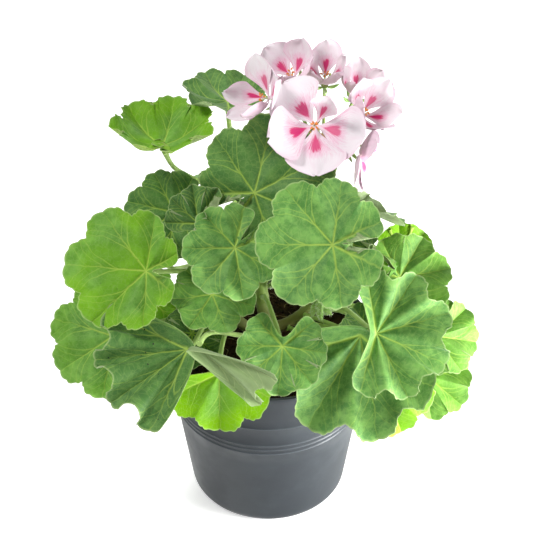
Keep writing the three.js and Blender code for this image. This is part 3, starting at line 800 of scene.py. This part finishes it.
def add_blade(body, grid, shares, turned, masks):
    columns = grid.shape[1]
    lobes = columns / round_steps / 3
    rings = len(shares) - 1
    normals = grid_normals(grid)
    taper = (1 - 0.55 * shares**6)[:, None, None]
    points, charts = [], []
    middle_normal = normals[1].mean(axis=0)
    strides = np.linalg.norm(np.diff(grid, axis=0), axis=2)
    length = np.concatenate([[np.zeros(columns)], np.cumsum(strides, axis=0)])
    first = grid[1] - grid[0]
    across = unit(np.cross(middle_normal, first[0]))
    along = np.cross(across, middle_normal)
    bearing = np.arctan2(first @ across, first @ along)
    flat = np.stack([length * np.cos(bearing), length * np.sin(bearing)], axis=2) / (10 * mm)
    for side in (1, -1):
        skin = grid + side * normals * blade_thickness / 2 * taper
        points.append(np.vstack([skin[0, :1], skin[1:].reshape(-1, 3)]))
    faces = skin_faces(columns, rings)
    count = len(points[0])
    below = [tuple(count + i for i in reversed(face)) for face in faces]
    top = 1 + (rings - 1) * columns
    edges = [(top + i, top + (i + 1) % columns) for i in range(columns)]
    band = [(second, first, count + first, count + second) for first, second in edges]
    everything = faces + below + band

    def spot(index):
        index %= count
        return (0, 0) if index == 0 else ((index - 1) // columns + 1, (index - 1) % columns)

    spoke_chart, flat_chart = [], []
    for face in everything:
        spots = [spot(i) for i in face]
        known = [turned[column] / 3 for ring, column in spots if ring > 0]
        seam = max(known) - min(known) > lobes / 2
        known = [k + lobes if seam and k < lobes / 2 else k for k in known]
        counted = iter(known)
        for ring, column in spots:
            spoke_chart.append((next(counted) if ring > 0 else sum(known) / len(known), shares[ring]))
            flat_chart.append(flat[ring, column])
    edge = np.concatenate([[0], np.repeat(shares[1:], columns)])
    body.add(
        np.vstack(points),
        everything,
        charts={"spoke": spoke_chart, "flat": flat_chart},
        masks={"edge": np.tile(edge, 2), "underside": np.repeat([0.0, 1.0], count), **masks},
    )


# %% How much light and shade is painted on each leaf
# How much light coming through each leaf and how much of the plant's shade are painted into its
# colour, and how speckled with soil it is. The rest are 0. One leaf has rolled over, and shows its
# pale side on both faces.
painted_glow = {
    "leaf_01": 0.7, "leaf_10": 0.8, "leaf_11": 0.3, "leaf_12": 0.3, "leaf_13": 0.35, "leaf_16": 0.75,
    "leaf_20": 1.0, "leaf_21": 0.15, "leaf_24": 0.35, "leaf_25": 0.65, "leaf_26": 0.8,
}
painted_shade = {
    "leaf_02": 0.35, "leaf_03": 0.4, "leaf_04": 0.5, "leaf_05": 0.8, "leaf_06": 0.6, "leaf_09": 0.8,
    "leaf_15": 0.1, "leaf_17": 0.8, "leaf_19": 0.45, "leaf_22": 0.7,
}
speckled = {"leaf_19": 1.0, "leaf_25": 0.3}
rolled = {"leaf_23": 0.85}


def grow_leaf(name, seed):
    places, stalk = rings_of(name)
    grid, shares, turned, lobe_angle = grow_sheet(places)
    grid = grid + grid_normals(grid) * blade_relief(grid, shares, turned, seed)[:, :, None]
    masks = {
        "glow": painted_glow.get(name, 0.0),
        "shade": painted_shade.get(name, 0.0),
        "specks": speckled.get(name, 0.0),
        "lobe_angle": lobe_angle,
    }
    if name in rolled:
        masks["underside"] = rolled[name]
    body = Body()
    add_blade(body, grid, shares, turned, masks)
    onward = unit(stalk[-1] - stalk[-3])
    path = smooth_path([grid[0, 0], *stalk[1:-1], stalk[-1] + onward * 1.5 * mm], 4)
    widths = np.full(len(path), stalk_radius)
    widths[:3] *= [1.5, 1.3, 1.1]
    widths[-4:] *= [1.05, 1.15, 1.3, 1.5]
    points, faces = tube(path[1:], widths[1:], 8)
    body.add(points, faces, masks={"stalk": 1.0})
    return body.piece("geranium_" + name, [velvet_leaf], "leaves", [name])


leaf_names = sorted(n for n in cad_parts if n.startswith("leaf_"))
for seed, name in enumerate(leaf_names):
    leaf = grow_leaf(name, seed)
print("leaves grown:", len(leaf_names), "each of about", len(leaf.data.polygons), "faces")

# %% [markdown]
# ## Petals
# A corolla's five petals are broad and rounded, narrow at the claw, and each is bent a little
# differently. Each one here is its own thin sheet, laid along the middle spoke of a petal of the
# solid corolla, a little wider than it, so that neighbours overlap as real ones do.

# %% Sizes of a petal
petal_count = 5
petal_thickness = 0.35 * mm
petal_across = 12
petal_along = 14


def petal_sheet(spine, left, right, seed):
    """A petal's middle sheet: rows along it, points across it."""
    draw = random.Random(seed)
    side = left - right
    width = np.linalg.norm(side) * draw.uniform(0.62, 0.72)
    side = unit(side)
    cup = draw.uniform(0.05, 0.42)
    roll = draw.uniform(-0.3, 0.3)
    shares = np.linspace(0, 1, petal_along + 1)
    spread = np.linspace(-1, 1, petal_across + 1)
    line = outward(np.array([[p] for p in spine]), sheet_stations, shares)[:, 0]
    way = np.gradient(line, axis=0)
    rows = []
    for share, centre, direction in zip(shares, line, way):
        direction = unit(direction)
        across = unit(side - direction * side.dot(direction))
        up = np.cross(direction, across) * -1
        outline = math.sin(math.pi * min(share, 1) ** 1.45 * 0.995) ** 0.55 if share > 0 else 0
        claw = min(1, 0.16 + 1.5 * share)
        half = width * max(outline * claw, 0.06)
        row = []
        for a in spread:
            bend = cup * half * (a * a) + roll * half * a * share
            ruffle = 2.4 * mm * share**2 * noise.noise(Vector((a * 1.7, share * 2.5, seed)))
            notch = -0.04 * width * (1 - abs(a)) ** 2 * share**8
            row.append(centre + across * a * half + up * (bend + ruffle) + direction * notch)
        rows.append(row)
    return np.array(rows), shares, spread


def add_petal(body, sheet, shares, spread, masks):
    rows, columns = sheet.shape[:2]
    along = np.gradient(sheet, axis=0)
    across = np.gradient(sheet, axis=1)
    normals = np.cross(across, along)
    normals /= np.maximum(np.linalg.norm(normals, axis=2, keepdims=True), 1e-12)
    rim = np.ones((rows, columns, 1))
    rim[0] = rim[-1] = rim[:, 0] = rim[:, -1] = 0.4
    skins = [sheet + s * normals * petal_thickness / 2 * rim for s in (1, -1)]
    points = np.vstack([skin.reshape(-1, 3) for skin in skins])
    count = rows * columns
    faces = []
    for r in range(rows - 1):
        for c in range(columns - 1):
            i = r * columns + c
            faces.append((i, i + 1, i + columns + 1, i + columns))
    below = [tuple(count + i for i in reversed(face)) for face in faces]
    loop = [*range(columns), *(r * columns + columns - 1 for r in range(1, rows))]
    loop += [(rows - 1) * columns + c for c in range(columns - 2, -1, -1)]
    loop += [r * columns for r in range(rows - 2, 0, -1)]
    band = []
    for i, first in enumerate(loop):
        second = loop[(i + 1) % len(loop)]
        band.append((second, first, count + first, count + second))
    everything = faces + below + band
    spots = [divmod(i % count, columns) for face in everything for i in face]
    chart = [(spread[column], shares[row]) for row, column in spots]
    masks = {**masks, "underside": np.repeat([0.0, 1.0], count)}
    body.add(points, everything, charts={"petal": chart}, masks=masks)


# %% Corollas
def grow_corolla(name, seed):
    places, foot = rings_of(name)
    sheet, normal = middle_sheet(places)
    radii = np.linalg.norm(sheet[3] - sheet[0], axis=1)
    notch = min(range(4), key=lambda start: radii[start::4].sum())
    draw = random.Random(seed)
    body = Body()
    for petal in range(petal_count):
        start = notch + petal * 4
        left, middle, right = ((start + k) % len(radii) for k in (1, 2, 3))
        spine = sheet[:, middle].copy()
        spine[1:] += normal * draw.uniform(-0.5, 0.5) * mm
        own = seed * petal_count + petal
        grid, shares, spread = petal_sheet(spine, sheet[3, left], sheet[3, right], own)
        masks = {"flush": draw.uniform(0.1, 1.0), "stain": draw.uniform(0.75, 1.0)}
        add_petal(body, grid, shares, spread, masks)
    body.piece(name + "_petals", [silky_petal], "petals", [name])
    return sheet[0, 0], normal, foot[-1]


corollas = {}
floret_names = sorted(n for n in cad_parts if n.startswith("floret_"))
for seed, name in enumerate(floret_names, start=1):
    corollas[name] = grow_corolla(name, seed)
print("corollas:", list(corollas))

# %% [markdown]
# ## Stamens
# From the throat of each flower rise a few white threads with orange pollen at their tips. They are
# thin tubes that lean apart, with a small grain on each end.

# %% Threads and pollen
stamen_count = 7
filaments = Body()
draw = random.Random(41)
for heart, normal, _ in corollas.values():
    side, other = around(normal, (0.3, 0.2, 1.0))
    for i in range(stamen_count):
        angle = i * 2 * math.pi / stamen_count + draw.uniform(-0.3, 0.3)
        lean = side * math.cos(angle) + other * math.sin(angle)
        tip = heart + normal * draw.uniform(4.5, 6.5) * mm + lean * draw.uniform(1.2, 2.4) * mm
        path = smooth_path([heart, heart + normal * 3 * mm + lean * 0.5 * mm, tip], 3)
        filaments.add(*tube(path, np.linspace(0.25, 0.16, len(path)) * mm, 5), finish_number=0)
        half, end = lean * 0.5 * mm, lean * 0.9 * mm
        grain = np.array([tip - end, tip - half, tip + half, tip + end])
        filaments.add(*tube(grain, np.array([0.1, 0.45, 0.45, 0.1]) * mm, 6), finish_number=1)
filaments.piece("stamens", [hair_white, pollen_orange], "petals")
print("stamens:", stamen_count * len(corollas))

# %% [markdown]
# ## Stems and the flower's stalk
# A woody stem stands in the peat and forks into three shoots, with a ring at each place where a leaf
# has grown. From the middle one rises the flower stalk, and from its top a thin pedicel runs to each
# flower, swelling into a green cup with five narrow sepals that hold the petals.

# %% Shoots
rim_height = 110


def from_rim(points):
    """Places that are measured in millimetres from the middle of the pot's rim."""
    return [np.array((x, y, rim_height + z)) * mm for x, y, z in points]


shoots = {
    "middle": ([(0, 0, -38), (0, 0, 0), (-4, 6, 30), (2, 14, 58), (10, 22, 84)], 5.0, 2.5),
    "left": ([(0, 0, -2), (-14, -4, 8), (-26, -6, 28), (-30, -6, 52)], 3.5, 2.5),
    "right": ([(0, 0, 0), (16, 4, 6), (30, 6, 22), (36, 6, 44)], 3.5, 2.5),
}
stems = Body()
for points, start, end in shoots.values():
    path = smooth_path(from_rim(points), 14)
    shares = np.linspace(0, 1, len(path))
    knuckles = 1 + 0.1 * np.exp(-((np.sin(shares * math.pi * 7) / 0.25) ** 2))
    widths = (start + (end - start) * shares) * knuckles * mm
    widths[-3:] *= np.array([0.9, 0.7, 0.3])
    stems.add(*tube(path, widths, 16))
stems = stems.piece("stems", [stem_green], "stems", ["stem"])
print("shoots:", len(shoots))


# %% Sepals and pointed buds
def spindle(body, base, tip, width, sides=8, bow=None, number=0, swell=0.4):
    """A bud or a sepal: pointed at its tip, and widest at the share of its length in swell."""
    middle = (base + tip) / 2 + (bow if bow is not None else 0)
    path = smooth_path([base, middle, tip], 5)
    shares = np.linspace(0, 1, len(path))
    rise = np.sin(shares / swell * math.pi / 2)
    fall = np.cos((shares - swell) / (1 - swell) * math.pi / 2) ** 0.8
    profile = np.where(shares < swell, rise, fall)
    body.add(*tube(path, width * np.maximum(profile, 0.04), sides), finish_number=number)


# %% Pedicels and calyces
umbel = from_rim([(30, 24, 106)])[0]
shoot_tip = from_rim([(10, 22, 84)])[0]
stalks = Body()
halfway = shoot_tip * 0.5 + umbel * 0.5 + np.array((-1, 0, 0)) * mm
path = smooth_path([shoot_tip, halfway, umbel], 8)
stalks.add(*tube(path, np.linspace(2.2, 1.8, len(path)) * mm, 12))
draw = random.Random(7)
for heart, normal, foot in corollas.values():
    cup = foot - normal * 4 * mm
    bend = (cup - normal * 8 * mm) * 0.8 + umbel * 0.2
    path = smooth_path([umbel, bend, cup, foot], 6)
    widths = np.full(len(path), 0.9) * mm
    widths[-6:] = np.linspace(1.1, 2.1, 6) * mm
    stalks.add(*tube(path, widths, 8))
    side, other = around(normal, (0.2, 1.0, 0.3))
    for i in range(petal_count):
        angle = (i + 0.5) * 2 * math.pi / petal_count
        lean = side * math.cos(angle) + other * math.sin(angle)
        tip = foot + normal * 3 * mm + lean * draw.uniform(6.5, 8.5) * mm
        base, bow = foot - normal * 1.5 * mm + lean * mm, -normal * 1.2 * mm
        spindle(stalks, base, tip, 1.1 * mm, 6, bow=bow, number=1)
closed_buds = 9
bud_turn = 2.4
for i in range(closed_buds):
    angle = i * bud_turn
    lean = np.array((math.cos(angle), math.sin(angle), 0.0))
    base = umbel + (lean * 3 + np.array((-2, -4, 2))) * mm
    rise = (lean * draw.uniform(5, 9) + np.array((-2, -8, draw.uniform(16, 24)))) * mm
    neck = base + rise * 0.5
    stalks.add(*tube(smooth_path([umbel, base, neck], 4), np.full(9, 0.6) * mm, 6))
    spindle(stalks, neck, base + rise, draw.uniform(1.3, 1.9) * mm, 8, number=1)
withered = (
    ((20, 14, 128), (31, 8, 133)), ((26, 12, 127), (32, 9, 123)), ((24, 13, 129), (22, 6, 131)),
)
for ends in withered:
    base, tip = from_rim(ends)
    spindle(stalks, base, tip, 1.7 * mm, 6, bow=np.array((0, -2, 1)) * mm, number=2)
stalk_finishes = [stem_green, bud_green, withered_petal]
stalk_piece = stalks.piece("flower_stalks", stalk_finishes, "stems", ["flower_stalk"])
print("pedicels:", len(corollas))

# %% Young buds
nod = Body()
shoot_side = from_rim([(1, 3, 30)])[0]
crest = from_rim([(24, -27, 50)])[0]
away = np.array(crest - shoot_side)
away[2] = 0
away /= np.linalg.norm(away)
hub = crest + away * 5 * mm - np.array((0, 0, 3)) * mm
arch = crest * 0.6 + shoot_side * 0.4 + np.array((0, 0, 6)) * mm
path = smooth_path([shoot_side, arch, crest, hub], 7)
nod.add(*tube(path, np.full(len(path), 1.4) * mm, 10))
down = away + np.array((0.4, 0, -1.4))
down /= np.linalg.norm(down)
side = np.cross((0, 0, 1), down)
side /= np.linalg.norm(side)
other = np.cross(down, side)
for i in range(11):
    spread = 0 if i == 10 else math.radians(28 if i % 2 else 52)
    angle = i * 2 * math.pi / 10
    axis = down * math.cos(spread) + (side * math.cos(angle) + other * math.sin(angle)) * math.sin(spread)
    length = (12 if i % 2 else 10) * mm
    spindle(nod, hub, hub + axis * length, 2.2 * mm, 10, number=1, swell=0.45)
    spindle(nod, hub - axis * mm, hub + axis * 5 * mm - down * 2 * mm, 1.1 * mm, 6, number=1)
nodding_head = nod.piece("young_bud_head", [stem_green, bud_green], "buds", ["young_buds"])
print("young buds:", 11)

# %% [markdown]
# ## Soft hairs
# Young buds and stalks are covered in short, fine, pale hairs that stand out from the skin. Hairs
# repeat over a surface, which is what Geometry Nodes are for: points are scattered over the piece,
# and each carries a thin cone that stands on the surface and leans a little.


# %% The scatter tree
def scatter_tree(name, standing):
    """A tree that strews cones that stand on a surface, or crumbs that lie any way up."""
    tree = bpy.data.node_groups.new(name, "GeometryNodeTree")
    for label, kind in (
        ("Surface", "Geometry"), ("Density", "Float"), ("Smallest", "Float"), ("Largest", "Float"),
        ("Seed", "Int"), ("Finish", "Material"),
    ):
        tree.interface.new_socket(label, in_out="INPUT", socket_type="NodeSocket" + kind)
    tree.interface.new_socket("Geometry", in_out="OUTPUT", socket_type="NodeSocketGeometry")
    bench = Bench(tree)
    given = bench.put("NodeGroupInput").outputs
    result = bench.put("NodeGroupOutput").inputs
    points = bench.put(
        "GeometryNodeDistributePointsOnFaces",
        {"Mesh": given["Surface"], "Density": given["Density"], "Seed": given["Seed"]},
    )
    sizes = bench.put("FunctionNodeRandomValue", data_type="FLOAT")
    bench.feed(sizes.inputs[2], given["Smallest"])
    bench.feed(sizes.inputs[3], given["Largest"])
    bench.feed(sizes.inputs["Seed"], given["Seed"])
    tilts = bench.put("FunctionNodeRandomValue", data_type="FLOAT_VECTOR")
    lean = 0.5 if standing else math.pi
    tilts.inputs[0].default_value = (-lean, -lean, -lean)
    tilts.inputs[1].default_value = (lean, lean, lean)
    bench.feed(tilts.inputs["Seed"], given["Seed"])
    turn = bench.put("FunctionNodeRotateRotation", rotation_space="LOCAL")
    bench.feed(turn.inputs[0], points.outputs["Rotation"])
    bench.feed(turn.inputs[1], tilts.outputs[0])
    if standing:
        shape = bench.put(
            "GeometryNodeMeshCone",
            {"Vertices": 3, "Radius Top": 0.0, "Radius Bottom": 0.09, "Depth": 1.0},
            fill_type="TRIANGLE_FAN",
        ).outputs["Mesh"]
    else:
        round_shape = {"Radius": 1.0, "Subdivisions": 2}
        ball = bench.put("GeometryNodeMeshIcoSphere", round_shape).outputs["Mesh"]
        lumps = bench.put("ShaderNodeTexNoise", {"Scale": 1.7, "Detail": 1.0}).outputs["Color"]
        centring = {0: lumps, 1: (0.5, 0.5, 0.5)}
        centred = bench.put("ShaderNodeVectorMath", centring, operation="SUBTRACT").outputs[0]
        wider = bench.put("ShaderNodeVectorMath", {0: centred, 3: 1.1}, operation="SCALE").outputs[0]
        moved = {"Geometry": ball, "Offset": wider}
        shape = bench.put("GeometryNodeSetPosition", moved).outputs[0]
    standing_on = {
        "Points": points.outputs["Points"], "Instance": shape,
        "Rotation": turn.outputs[0], "Scale": sizes.outputs[1],
    }
    spread = bench.put("GeometryNodeInstanceOnPoints", standing_on)
    real = bench.put("GeometryNodeRealizeInstances", {"Geometry": spread.outputs[0]})
    finished = {"Geometry": real.outputs[0], "Material": given["Finish"]}
    painted = bench.put("GeometryNodeSetMaterial", finished)
    bench.feed(result["Geometry"], painted.outputs[0])
    return tree


def strew(name, surface, tree, slot, **values):
    """Runs a scatter tree over a mesh and keeps what it makes as one plain piece."""
    carrier = stand(name + "_carrier", surface)
    modifier = carrier.modifiers.new("strewn", "NODES")
    modifier.node_group = tree
    sockets = {s.name: s.identifier for s in tree.interface.items_tree if s.in_out == "INPUT"}
    for label, value in values.items():
        modifier[sockets[label]] = value
    evaluated = carrier.evaluated_get(bpy.context.evaluated_depsgraph_get())
    mesh = bpy.data.meshes.new_from_object(evaluated)
    mesh.name = name
    carrier.modifiers.remove(modifier)
    bpy.data.objects.remove(carrier)
    print(name, "faces:", len(mesh.polygons))
    return ready(name, mesh)


hair_tree = scatter_tree("soft_hairs", standing=True)
crumb_tree = scatter_tree("crumbs", standing=False)

strew(
    "bud_hairs", nodding_head.data, hair_tree, "buds",
    Density=900000.0, Smallest=0.8 * mm, Largest=1.7 * mm, Seed=3, Finish=hair_white,
)
strew(
    "stalk_hairs", stalk_piece.data, hair_tree, "buds",
    Density=350000.0, Smallest=0.5 * mm, Largest=1.2 * mm, Seed=5, Finish=hair_white,
)

# %% [markdown]
# ## The pot
# The pot is turned from one profile: a rounded heel, a straight wall that widens upwards with four
# fine moulded ridges, a plain rim, and a raised channel under the base. It is spun with enough
# steps to look round, and eight drain holes are cut through the floor.


# %% Profile of the pot
base_radius, rim_radius, heel, wall = 44, 60, 8, 1.6
ridge_heights = (64, 67.5, 71, 85.5)
ridge_reach, ridge_rise = 0.7, 0.5


def wall_radius(height):
    """The outer wall's radius at a height, in millimetres."""
    return base_radius + (rim_radius - base_radius) * height / rim_height


def pot_profile():
    """The pot's outline in millimetres, as radius, height and whether it is on a ridge."""
    line = [(0, 0), (12.5, 0), (13.5, 0.8), (14.5, 3), (29.5, 3), (31.5, 1), (32.5, 0)]
    for step in range(9):
        angle = step / 8 * math.pi / 2
        height = heel * (1 - math.cos(angle))
        line.append((wall_radius(height) - heel * (1 - math.sin(angle)), height))
    line = [(r, z, 0) for r, z in line]
    line += [(wall_radius(z), z, 0) for z in range(14, 64, 10)]
    for ridge in ridge_heights:
        for share in (-1, -0.6, 0, 0.6, 1):
            height = ridge + share * ridge_reach
            rise = ridge_rise * (1 + math.cos(share * math.pi)) / 2
            line.append((wall_radius(height) + rise, height, 1 - abs(share)))
    line += [(wall_radius(z), z, 0) for z in (92, 100, 107, 109.2)]
    rim = ((59.7, 109.8), (59.2, 110), (58.2, 110), (57.7, 109.8), (57.4, 109.3))
    line += [(r, z, 0.35) for r, z in rim]
    line += [(57.3, 106, 0), (57.2, 104.2, 0), (56.4, 103, 0)]
    line += [(wall_radius(z) - wall, z, 0) for z in (90, 70, 50, 30, 12, 8)]
    line += [(wall_radius(6) - 2.6, 6, 0), (wall_radius(5) - 4.2, 5.2, 0)]
    line += [(wall_radius(5) - 6, 5, 0), (0, 5, 0)]
    return np.array(line, float)


def circle(radius, height, steps):
    """Points in metres round a level circle that is given in millimetres."""
    angles = np.arange(steps) * 2 * math.pi / steps
    return [(radius * mm * math.cos(a), radius * mm * math.sin(a), height * mm) for a in angles]


def turned_piece(profile, steps):
    """Spins a profile that starts and ends on the axis into a closed body."""
    rings = profile[1:-1]
    points = [(0, 0, profile[0, 1] * mm)]
    for radius, height, _ in rings:
        points.extend(circle(radius, height, steps))
    points.append((0, 0, profile[-1, 1] * mm))
    masks = np.concatenate([[0], np.repeat(rings[:, 2], steps), [0]])
    return np.array(points), capped_faces(steps, len(rings)), masks


# %% Turn the pot and cut its drain holes
points, faces, ridge_mask = turned_piece(pot_profile(), 160)
blank = Body()
blank.add(points, faces, masks={"ridge": ridge_mask})
pot = blank.piece("nursery_pot", [matte_pot], "pot_plastic", ["pot"])

drain_count, drain_ring, drain_radius = 8, 26, 4
drills = Body()
for i in range(drain_count):
    angle = i * 2 * math.pi / drain_count
    centre = drain_ring * mm * np.array((math.cos(angle), math.sin(angle), 0))
    line = [centre + (0, 0, z * mm) for z in (-2, 2, 6, 9)]
    drills.add(*tube(line, np.full(len(line), drain_radius) * mm, 24))
cutter_mesh = bpy.data.meshes.new("drills")
cutter_mesh.from_pydata(np.concatenate(drills.points).tolist(), [], drills.faces)
cutter = stand("drills", cutter_mesh)
cut = pot.modifiers.new("drain_holes", "BOOLEAN")
cut.operation = "DIFFERENCE"
cut.solver = "EXACT"
cut.object = cutter
pierced = bpy.data.meshes.new_from_object(pot.evaluated_get(bpy.context.evaluated_depsgraph_get()))
pot.modifiers.remove(cut)
pot.data = pierced
pierced.set_sharp_from_angle(angle=sharp_angle)
bpy.data.objects.remove(cutter)
print("pot faces:", len(pierced.polygons))

# %% [markdown]
# ## Peat
# The peat fills the pot to a finger's width below the rim and mounds up a little round the stem.
# Its surface is a lumpy sheet, crumbs of every size lie on it, and among them are a few white
# grains of perlite and some thin pale roots.

# %% A lumpy surface
low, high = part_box("soil")
soil_radius = high.x / mm
soil_profile = [(0, low.z / mm), (38, low.z / mm), (42.6, 8.2)]
soil_edge = 100


def soil_height(x, y):
    """The peat's height in millimetres at a place."""
    share = min(math.hypot(x, y) / soil_radius, 1)
    mound = 2.2 * (1 - share**2)
    lumps = 0.9 * noise.fractal(Vector((x, y, 0)) * 0.16, 0.7, 2.2, 4)
    return soil_edge + mound + lumps * min(1, (1 - share) * 12)


steps = 96
radii = [soil_radius * (1 - k / 26) for k in range(26)]
angles = np.arange(steps) * 2 * math.pi / steps
points = [(0, 0, low.z)]
for radius, height in soil_profile[1:]:
    points.extend(circle(radius, height, steps))
for radius in radii:
    for a in angles:
        x, y = radius * math.cos(a), radius * math.sin(a)
        points.append((x * mm, y * mm, soil_height(x, y) * mm))
points.append((0, 0, soil_height(0, 0) * mm))
peat = Body()
peat.add(points, capped_faces(steps, len(soil_profile) - 1 + len(radii)))
peat_piece = peat.piece("peat", [damp_peat], "peat", ["soil"])
print("peat faces:", len(peat_piece.data.polygons))

# %% Crumbs, perlite and roots
top = bmesh.new()
top.from_mesh(peat_piece.data)
inside = (soil_radius - 2.5) * mm
edge_height = (soil_edge - 1) * mm
unwanted = [v for v in top.verts if v.co.xy.length > inside or v.co.z < edge_height]
bmesh.ops.delete(top, geom=unwanted, context="VERTS")
open_top = bpy.data.meshes.new("open_top")
top.to_mesh(open_top)
top.free()

strew(
    "peat_crumbs", open_top, crumb_tree, "peat",
    Density=110000.0, Smallest=0.3 * mm, Largest=1.2 * mm, Seed=11, Finish=damp_peat,
)
strew(
    "perlite", open_top, crumb_tree, "peat",
    Density=2600.0, Smallest=0.5 * mm, Largest=1.1 * mm, Seed=23, Finish=white_perlite,
)

root_count = 40
threads = Body()
draw = random.Random(19)
for _ in range(root_count):
    radius, angle = draw.uniform(12, soil_radius - 8), draw.uniform(0, 2 * math.pi)
    x, y = radius * math.cos(angle), radius * math.sin(angle)
    heading = draw.uniform(0, 2 * math.pi)
    trail = []
    for _ in range(5):
        trail.append(np.array((x, y, soil_height(x, y) + draw.uniform(0.2, 1.3))) * mm)
        heading += draw.uniform(-0.8, 0.8)
        x += 2.2 * math.cos(heading)
        y += 2.2 * math.sin(heading)
        if math.hypot(x, y) > soil_radius - 3:
            break
    if len(trail) > 2:
        path = smooth_path(trail, 3)
        threads.add(*tube(path, np.linspace(0.3, 0.12, len(path)) * mm, 5))
threads.piece("fine_roots", [stem_green], "peat")
print("roots:", len(threads.points))

# %% [markdown]
# ## The plant's size
# The box round the finished plant is measured and printed, in millimetres. The finished
# plant has to stay inside the solid one's box, give or take a few millimetres.

# %% Measure and finish
low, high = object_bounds()
print("visual box in mm:", [round(c / mm) for c in (*low, *high)])
